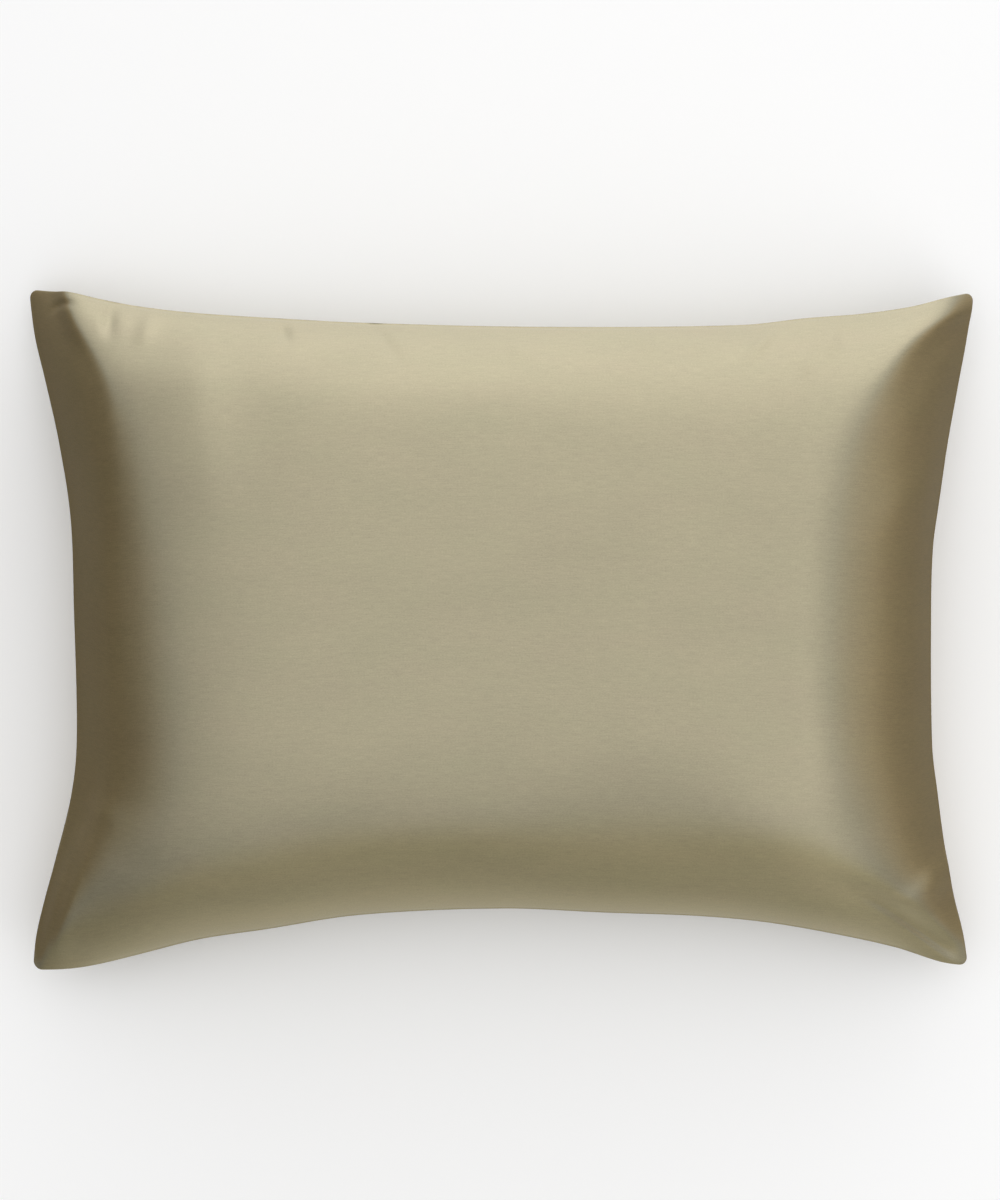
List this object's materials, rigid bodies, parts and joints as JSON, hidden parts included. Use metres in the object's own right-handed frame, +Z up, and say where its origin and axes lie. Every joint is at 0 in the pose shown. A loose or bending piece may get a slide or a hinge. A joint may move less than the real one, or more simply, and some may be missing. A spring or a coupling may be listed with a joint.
{
  "type": "pillowcase",
  "caption": "Plain satin pillowcase filled by its pillow: crowned front, drawn-in sides, thin sewn edge and soft corner ears, lying on its flat-resting back.",
  "frame": {"origin": "on the resting surface, under the middle of the case's bounding box", "axes": "+X along the long side, +Y along the short side towards the edge that is at the top of the picture, +Z up, out of the crowned front"},
  "size_m": [0.6914, 0.496, 0.17],
  "materials": {
    "satin": "smooth satin weave in olive beige, with a soft directional sheen and faint cross threads"
  },
  "bodies": {
    "root": {"pillowcase": "satin"}
  },
  "joints": []
}
